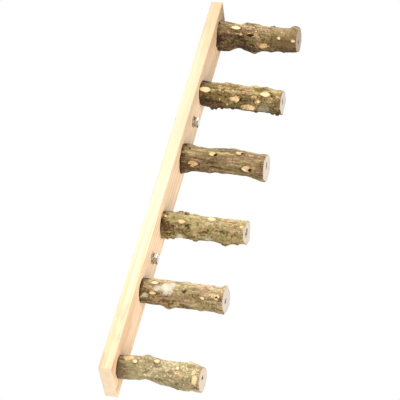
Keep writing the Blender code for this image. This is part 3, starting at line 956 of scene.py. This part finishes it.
        # An old cut has healed to the pointed shape of an eye
        power = 2 - 0.7 * (1 - mark.tone)
        rag = 0.06 + 0.65 * (1 - mark.tone)
        reach = (abs(down) ** power + abs(egg) ** power) ** (1 / power)
        reach += rag * (0.6 * self.ragged + 0.3 * self.frayed)
        # The wider the twig, the higher its collar and the prouder its cut
        seat = self.radius[reach < 0.7].mean()
        proud = (0.25 + 0.05 * mark.width) * MM
        self.radius += (0.3 + 0.09 * mark.width) * MM * hump(reach, 1.22, 0.34)
        face = fall(reach, 0.86, 1.02)
        cut = (seat + proud - 0.2 * MM * down) / np.cos(np.clip(self.angle_from(mark), -1, 1))
        self.radius += (cut - self.radius) * face
        # The cut is fresher toward the board and duller at its rim, and painted shadow runs round it in a
        # dark line, deepest toward the tip and to one side
        fresh = mark.tone - 0.10 * down + 0.06 * across - 0.25 * fall(1 - reach, 0.12, 0.34)
        fresh += (0.06 + 0.4 * (1 - mark.tone)) * (0.5 * self.ragged + 0.5 * self.frayed)
        self.show_wood(face * np.clip(fresh, 0.3, 1.0))
        self.dark *= 1 - 0.9 * face
        # A dark line of painted shadow runs round the cut
        shade = np.clip(0.4 + 0.22 * self.ragged + 0.25 * across + 0.25 * down, 0, 0.9)
        self.darken(hump(reach, 1.10, 0.13) * shade)

    def raise_spot(self, mark):
        """A small round spot raised a little, as its share of the surface."""
        face = fall(self.reach(mark, 0.12), 0.6, 1.1)
        self.radius += 0.25 * MM * face
        return face

    def pore(self, mark):
        """A pale pore."""
        self.tone += mark.tone * self.raise_spot(mark)

    def speck(self, mark):
        """A thin shoot cut off."""
        self.show_wood(mark.tone * self.raise_spot(mark))

    def scar(self, mark):
        """A crack or a hole, with a raised lip, filled with painted shade."""
        reach = self.reach(mark, 0.34)
        self.radius += (0.35 * hump(reach, 1.35, 0.35) - 1.1 * mark.tone * fall(reach, 0.2, 1.1)) * MM
        # Painted shade darkens the crack or hole and a little round it
        self.darken(mark.tone * fall(reach, 0.2, 1.3))
        self.bare *= 1 - fall(reach, 0.6, 1.1)

    def strip(self, mark):
        """Bark stripped to the wood."""
        bared = fall(self.reach(mark, 0.20), 0.70, 1.08)
        self.radius -= 0.45 * MM * bared
        self.show_wood(bared * np.clip(mark.tone + 0.06 * self.ragged, 0, 1))
        self.dark *= 1 - 0.6 * bared

    def torn(self, mark):
        """Outer skin torn off in ridges along the branch, ruddy beneath."""
        down, across = self.offsets(mark)
        bared = fall(np.hypot(down, across) + 0.18 * self.ragged, 0.6, 1.15)
        ridge = np.cos(2.6 * math.pi * across + 1.2 * self.ragged)
        self.radius += 0.28 * MM * ridge * bared
        self.ruddy = np.maximum(self.ruddy, 0.6 * bared)
        self.tone += mark.tone * (0.25 + 0.45 * ridge) * bared

    def lichen_crust(self, mark):
        """A thin crust of lichen."""
        crust = fall(self.reach(mark, 0.22), 0.35, 1.15)
        self.radius += 0.2 * MM * crust
        self.lichen = np.maximum(self.lichen, mark.tone * crust)
        self.dark *= 1 - 0.7 * crust

    def dip(self, mark):
        """A shallow waist in the branch, up to 3 mm deep, or a swelling by a tone below nought."""
        self.radius -= 3 * MM * mark.tone * fall(self.reach(mark, 0), 0, 1)

    def stain(self, mark):
        """Bark darker than the rest, or paler by a tone below nought."""
        self.tone -= mark.tone * fall(self.reach(mark, 0.2), 0.3, 1.2)

    def calm(self, mark):
        """Younger bark, smoother than the rest and with fewer pores."""
        even = mark.tone * fall(self.reach(mark, 0.1), 0.5, 1.1)
        self.radius += (self.smooth(self.radius, 5 * MM, 5 * MM) - self.radius) * even
        self.tone += (self.smooth(self.tone, 3 * MM, 12 * MM) - self.tone) * even
        self.dark *= 1 - 0.5 * even
        self.bare *= 1 - even

    def flake(self, mark):
        """A loose plate of old bark with steep edges and a line of painted shade round them."""
        reach = self.reach(mark, 0.12)
        plate = fall(reach, 0.82, 1.02)
        self.radius += (0.5 + mark.tone) * MM * plate
        self.ruddy = np.maximum(self.ruddy, 0.5 * plate)
        self.tone -= 0.18 * plate
        # Painted shade in a dark line round the plate's edge
        self.darken(0.5 * hump(reach, 1.08, 0.12))

    def break_ends(self):
        """The saw breaks the bark back a little at both ends."""
        end = np.minimum(self.along, self.length - self.along)
        self.radius -= np.exp(-end / (0.35 * MM)) * (0.30 + 0.12 * self.ragged) * MM
        self.tone = np.clip(self.tone, 0, 1)


MARKING = {
    "stub": Bark.stub, "speck": Bark.speck, "scar": Bark.scar, "strip": Bark.strip,
    "torn": Bark.torn, "stain": Bark.stain, "calm": Bark.calm, "lichen": Bark.lichen_crust,
    "flake": Bark.flake, "dip": Bark.dip,
}

# Rows of a sawn base, as shares of the way from its hole to its rim
BASE_ROWS = (0.55, 0.97)

TIP_RINGS = 30
TIP_CHECKS = 4


def grown_bark(number, perch, settings):
    """A branch's bark with its pores and marks."""
    bark = Bark(number, settings)
    bark.grow(perch, settings)
    bark.scatter(perch.pores)
    for mark in perch.marks:
        MARKING[mark.kind](bark, mark)
    bark.break_ends()
    return bark


def closed_round(values):
    """Bark values with the first column repeated past the last."""
    return np.hstack([values, values[:, :1]])


def branch_rows(bark, number, settings):
    """A branch's grid as distances from the board and radii, row by row, and its first row of bark."""
    radius = closed_round(bark.radius)
    even = np.ones(settings.around + 1)
    hole = settings.screw_hole
    screw_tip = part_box(f"perch_screw_{number}")[0].y
    depth = bark.base - screw_tip + settings.hole_room
    rows = [(depth, 0 * even), (depth - settings.hole_point, hole * even), (0, hole * even)]
    rows += [(0, hole + (radius[0] - hole) * share) for share in BASE_ROWS]
    first = len(rows)
    rows += zip(bark.along[:, 0], radius)
    rows += [(bark.length, radius[-1] * ring / TIP_RINGS) for ring in reversed(range(TIP_RINGS))]
    steps = np.array([step * even for step, ring in rows])
    radii = np.array([ring for step, ring in rows])
    return steps, radii, first


def tip_hollows(bark, number, perch, x, z):
    """A sawn tip's hollow pith, the fine checks out of it, and the distance from the pith."""
    # The pith lies up to 1.2 mm off the middle each way
    pith = bark.random.uniform(-1.2, 1.2, 2) * MM
    out = np.hypot(x - pith[0], z - pith[1])
    bearing = np.arctan2(z - pith[1], x - pith[0])
    ragged = perch.pith * MM * (1 + 0.25 * np.sin(2 * bearing + number) + 0.12 * np.sin(5 * bearing))
    hollow = fall(out / ragged, 0.8, 1.15)
    check = np.zeros_like(out)
    # Checks are 0.2 mm wide to either side and waver by 0.15 mm
    for angle, share in bark.random.random((TIP_CHECKS, 2)):
        aside = np.angle(np.exp(1j * (bearing - 2 * math.pi * angle))) * out
        crack = hump(aside + 0.15 * MM * np.sin(out / (0.9 * MM)), 0, 0.2 * MM)
        crack *= fall(out / bark.mean, 0.25 + 0.3 * share, 0.4 + 0.4 * share)
        check = np.maximum(check, crack)
    return hollow, check, out


def branch_piece(number, perch, settings):
    """One branch: a grid rolled round the screw's axis, from its screw hole to its sawn tip."""
    bark = grown_bark(number, perch, settings)
    steps, radii, first = branch_rows(bark, number, settings)
    tip = len(steps) - TIP_RINGS
    rim = radii[tip - 1]
    angles = np.append(bark.angles, 0)
    x = radii * np.cos(angles)
    z = radii * np.sin(angles)

    # The saw cut slants: the shown side is the shorter, and the bark is drawn in to meet it
    slope = math.tan(math.radians(perch.slant))
    lean = slope * np.cos(angles - SHOWN_SIDE)
    short = slope * rim.max()
    steps[tip:] -= short + lean * radii[tip:]
    drawn_in = np.clip(1 - (bark.length - bark.along) / settings.cut_reach, 0, 1) ** 2
    steps[first:tip] -= drawn_in * (short + lean * rim)
    hollow, check, out = tip_hollows(bark, number, perch, x[tip:], z[tip:])
    steps[tip:] -= settings.pith_depth * hollow + settings.check_depth * check

    layers = {name: np.zeros_like(radii) for name in (*BARK_LAYERS, "pith_distance", "rim_depth")}
    for name in BARK_LAYERS:
        layers[name][first:tip] = closed_round(getattr(bark, name))
    # The pith is dark in its own right, and the checks get painted shade
    layers["dark"][tip:] = np.maximum(hollow, 0.3 * check)
    layers["pith_distance"][tip:] = out
    layers["rim_depth"][tip:] = rim - radii[tip:]

    deselect_all()
    bpy.ops.mesh.primitive_grid_add(
        x_subdivisions=settings.around, y_subdivisions=len(steps) - 1, size=1
    )
    piece = bpy.context.object
    piece.name = piece.data.name = f"branch_{number}"
    points = np.stack([x, bark.base - steps, z + bark.height], axis=-1)
    piece.data.vertices.foreach_set("co", points.ravel())
    for name, values in layers.items():
        piece.data.attributes.new(name, "FLOAT", "POINT").data.foreach_set("value", values.ravel())
    face_rows = np.arange(len(piece.data.polygons)) // settings.around
    piece.data.polygons.foreach_set("material_index", (face_rows >= tip - 1).astype(int))
    piece.data.update()
    close_up()
    soften_shading(piece, SHARP_BARK)
    return piece


# Operators

class LADDER_OT_perches(bpy.types.Operator):
    """Six branch lengths with bark, trimmed twigs and sawn ends"""

    bl_idname = "bird_ladder.perches"
    bl_label = "Branch perches"

    def execute(self, context):
        settings = context.scene.bird_ladder.perches
        for number, perch in enumerate(PERCHES, 1):
            piece = branch_piece(number, perch, settings)
            materials = [make(number, perch, settings) for make in (bark_material, sawn_end_material)]
            hand_over(piece, materials, "ladder", f"perch_{number}")
        return {"FINISHED"}


class LADDER_OT_board(bpy.types.Operator):
    """Planed pine finish of the board, whose shape is the frame's own"""

    bl_idname = "bird_ladder.board"
    bl_label = "Pine board"

    def execute(self, context):
        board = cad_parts["board"]
        board.material_slots[0].material = pine_material(context.scene.bird_ladder.board)
        return {"FINISHED"}


class LADDER_OT_screws(bpy.types.Operator):
    """Countersunk wood screws that hold the perches from the back"""

    bl_idname = "bird_ladder.screws"
    bl_label = "Perch screws"

    def execute(self, context):
        settings = context.scene.bird_ladder.hardware
        low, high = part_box("perch_screw_1")
        head = (high.x - low.x) / 2
        shank = settings.screw_radius
        core = settings.screw_core
        rim = high.y - settings.screw_rim
        neck = rim - (head - shank)
        plain = neck - settings.screw_neck
        # The neck narrows from the shank to the root of the thread
        screw = turn("wood_screw", [
            (0, high.y), (head - settings.edge, high.y), (head, high.y - settings.edge), (head, rim),
            (shank, neck), (shank * 0.92, neck - 0.3 * settings.screw_neck), (core, plain), (0, plain),
        ], settings.steps)
        for angle in (0, math.pi / 2):
            carve(screw, self.recess_arm(settings, high.y, angle), "DIFFERENCE")
        thread_top = neck - settings.screw_neck / 2
        rod = thread_rod("screw_rod", shank, core, settings.screw_pitch, low.y, thread_top, settings.steps)
        wide = shank + 0.1 * MM
        taper = turn("screw_taper", [
            (0, neck), (wide, neck), (wide, low.y + settings.screw_point), (0.02 * MM, low.y), (0, low.y),
        ], settings.steps)
        carve(rod, taper, "INTERSECT")
        carve(screw, rod, "UNION")
        soften_shading(screw, SHARP_TURNED)
        gold = plated_material(
            "yellow_passivated_zinc", settings.gold, settings.gold_shade, settings.gold_roughness
        )
        for number in range(1, len(PERCHES) + 1):
            node = f"perch_screw_{number}"
            piece = copy_to(screw, f"wood_screw_{number}", node_height(node))
            hand_over(piece, (gold,), "ladder", node)
        bpy.data.objects.remove(screw)
        return {"FINISHED"}

    def recess_arm(self, settings, top, angle):
        """One tapering arm of the cross-shaped driver recess."""
        deselect_all()
        bpy.ops.mesh.primitive_cube_add(size=1)
        arm = bpy.context.object
        edit_all()
        size = (settings.recess_span, 2 * settings.recess_depth, settings.recess_width)
        bpy.ops.transform.resize(value=size, center_override=(0, 0, 0))
        select_vertices(arm, lambda vertex: vertex.co.y < 0)
        taper = (0.45, 1, 0.7)
        bpy.ops.transform.resize(value=taper, center_override=(0, 0, 0))
        bpy.ops.mesh.select_all(action="SELECT")
        bpy.ops.transform.translate(value=(0, top, 0))
        bpy.ops.object.mode_set(mode="OBJECT")
        arm.data.transform(Matrix.Rotation(angle, 4, "Y"))
        return arm


def hex_sizes(node, settings):
    """Corner, crown radius, blank radius and chamfer depth of a hexagonal head or nut."""
    corner = hex_corner(node)
    crown = settings.hex_crown * corner.length * math.cos(math.pi / 6)
    blank = corner.length + 0.1 * MM
    return corner, crown, blank, (blank - crown) * math.tan(settings.hex_chamfer)


def turned_washer(low, high, settings):
    """A stamped washer: rolled over on one side, sharp on the other."""
    outer = (high.x - low.x) / 2
    bore = settings.bolt_radius + settings.clearance
    roll = 2 * settings.edge
    sharp = settings.edge / 2
    washer = turn("washer", [
        (bore, high.y - sharp), (bore + sharp, high.y), (outer - sharp, high.y), (outer, high.y - sharp),
        (outer, low.y + roll), (outer - 0.3 * roll, low.y + 0.3 * roll), (outer - roll, low.y),
        (bore + roll, low.y), (bore + 0.3 * roll, low.y + 0.3 * roll), (bore, low.y + roll),
    ], settings.steps, closed=True)
    soften_shading(washer, SHARP_TURNED)
    return washer


class LADDER_OT_bolts(bpy.types.Operator):
    """Hexagon bolts through the board, with a plain washer under each head"""

    bl_idname = "bird_ladder.bolts"
    bl_label = "Cage bolts"

    def execute(self, context):
        settings = context.scene.bird_ladder.hardware
        zinc = plated_material(
            "bright_zinc_plate", settings.zinc, settings.zinc_shade, settings.zinc_roughness
        )
        low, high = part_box("cage_bolt_upper")
        washer_low, washer_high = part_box("head_washer_upper")
        under = washer_low.y - settings.clearance
        corner, crown, blank, drop = hex_sizes("cage_bolt_upper", settings)
        bolt = turn("cage_bolt", [
            (0, low.y), (crown, low.y), (blank, low.y + drop), (blank, under), (0, under),
        ], settings.steps)
        past = settings.overlap
        carve(bolt, hexagon_bar(corner, low.y - past, under + past), "INTERSECT")
        thread = settings.bolt_radius
        pitch = settings.bolt_pitch
        root = thread - settings.bolt_thread * pitch
        rod = thread_rod("bolt_rod", thread, root, pitch, under - past, high.y, settings.steps)
        wide = thread + 0.05 * MM
        taper = turn("bolt_taper", [
            (0, high.y), (thread - settings.bolt_lead, high.y), (wide, high.y - settings.bolt_lead),
            (wide, under - 2 * past), (0, under - 2 * past),
        ], settings.steps)
        carve(rod, taper, "INTERSECT")
        carve(bolt, rod, "UNION")
        soften_shading(bolt, SHARP_HEXAGON)
        washer = turned_washer(washer_low, washer_high, settings)
        fit_bolts((
            (bolt, "hex_bolt_{}", "cage_bolt_{}", "ladder"),
            (washer, "plain_washer_{}", "head_washer_{}", "ladder"),
        ), zinc)
        return {"FINISHED"}


class LADDER_OT_clamps(bpy.types.Operator):
    """Wide washers and thin nuts that clamp the cage bars behind the board"""

    bl_idname = "bird_ladder.clamps"
    bl_label = "Cage clamps"

    def execute(self, context):
        settings = context.scene.bird_ladder.hardware
        zinc = bpy.data.materials["bright_zinc_plate"]
        washer = turned_washer(*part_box("clamp_washer_upper"), settings)
        low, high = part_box("clamp_nut_upper")
        corner, crown, blank, drop = hex_sizes("clamp_nut_upper", settings)
        bore = settings.bolt_radius + settings.clearance
        flare = settings.flare
        wide = bore + flare
        nut = turn("nut", [
            (bore, high.y - flare), (wide, high.y), (crown, high.y), (blank, high.y - drop),
            (blank, low.y + drop), (crown, low.y), (wide, low.y), (bore, low.y + flare),
        ], settings.steps, closed=True)
        past = settings.overlap
        carve(nut, hexagon_bar(corner, low.y - past, high.y + past), "INTERSECT")
        soften_shading(nut, SHARP_HEXAGON)
        fit_bolts((
            (washer, "wide_washer_{}", "clamp_washer_{}", "{}_washer"),
            (nut, "thin_nut_{}", "clamp_nut_{}", "{}_nut"),
        ), zinc)
        return {"FINISHED"}


class LADDER_OT_stage(bpy.types.Operator):
    """Pale floor, white room, soft boxes and the camera"""

    bl_idname = "bird_ladder.stage"
    bl_label = "Stage"

    def execute(self, context):
        settings = context.scene.bird_ladder.stage
        self.floor(settings)
        self.room(context, settings)
        for box in SOFT_BOXES:
            self.soft_box(box)
        self.camera(context, settings)
        return {"FINISHED"}

    def floor(self, settings):
        deselect_all()
        squares = 8
        bpy.ops.mesh.primitive_grid_add(
            x_subdivisions=squares, y_subdivisions=squares, size=settings.floor_width,
            location=(0, 0, -settings.floor_drop)
        )
        floor = bpy.context.object
        floor.name = "paper_floor"
        floor.data.materials.append(paper_material(settings.floor_colour))

    def room(self, context, settings):
        """White to the eye, and softer than that as a light."""
        world = bpy.data.worlds.new("white_room")
        world.use_nodes = True
        context.scene.world = world
        tree = world.node_tree
        shell = tree.nodes["Background"]
        shell.inputs["Color"].default_value = (1, 1, 1, 1)
        seen = add_node(tree, "LightPath", output="Is Camera Ray")
        way = add_node(tree, "TexCoord", output="Generated")
        lean = add_node(tree, "VectorMath", (way, settings.sky_tilt[:]), operation="DOT_PRODUCT")
        light = add_node(tree, "Math", (lean, settings.sky), operation="ADD")
        strength = add_node(tree, "MapRange", (seen, 0.0, 1.0, light, 1.0))
        tree.links.new(strength, shell.inputs["Strength"])

    def soft_box(self, box):
        deselect_all()
        bpy.ops.object.light_add(type="AREA", location=box.place)
        lamp = bpy.context.object
        lamp.name = box.name
        lamp.data.shape = "DISK"
        lamp.data.size = box.width
        lamp.data.energy = box.power
        lamp.data.color = linear(box.colour)[:3]
        lamp.rotation_euler = (-Vector(box.place)).to_track_quat("-Z", "Y").to_euler()

    def camera(self, context, settings):
        place = Vector(settings.camera_place)
        view = Vector(settings.camera_aim) - place
        bpy.ops.object.camera_add(location=place)
        camera = bpy.context.object
        roll = Quaternion((0, 0, 1), settings.camera_roll)
        camera.rotation_euler = (view.to_track_quat("-Z", "Y") @ roll).to_euler()
        camera.data.lens = settings.lens
        camera.data.sensor_width = settings.sensor
        context.scene.camera = camera
        context.scene.view_settings.view_transform = "Standard"


class LADDER_PT_panel(bpy.types.Panel):
    """Makes the ladder's pieces and the stage, one by one"""

    bl_idname = "LADDER_PT_panel"
    bl_label = "Bird ladder"
    bl_space_type = "VIEW_3D"
    bl_region_type = "UI"
    bl_category = "Bird ladder"

    def draw(self, context):
        for operator in OPERATORS:
            self.layout.operator(operator.bl_idname)
        for group in ("perches", "board", "hardware", "stage"):
            settings = getattr(context.scene.bird_ladder, group)
            box = self.layout.box()
            box.label(text=group.capitalize())
            for name in settings.__annotations__:
                box.prop(settings, name)


OPERATORS = (
    LADDER_OT_perches,
    LADDER_OT_board,
    LADDER_OT_screws,
    LADDER_OT_bolts,
    LADDER_OT_clamps,
    LADDER_OT_stage,
)
CLASSES = (
    PerchSettings, BoardSettings, HardwareSettings, StageSettings, LadderSettings,
    *OPERATORS, LADDER_PT_panel,
)


def register():
    for cls in CLASSES:
        bpy.utils.register_class(cls)
    bpy.types.Scene.bird_ladder = bpy.props.PointerProperty(type=LadderSettings)


def unregister():
    del bpy.types.Scene.bird_ladder
    for cls in reversed(CLASSES):
        bpy.utils.unregister_class(cls)


def main():
    register()
    bpy.ops.bird_ladder.perches()
    bpy.ops.bird_ladder.board()
    bpy.ops.bird_ladder.screws()
    bpy.ops.bird_ladder.bolts()
    bpy.ops.bird_ladder.clamps()
    bpy.ops.bird_ladder.stage()


if __name__ == "__main__":
    main()
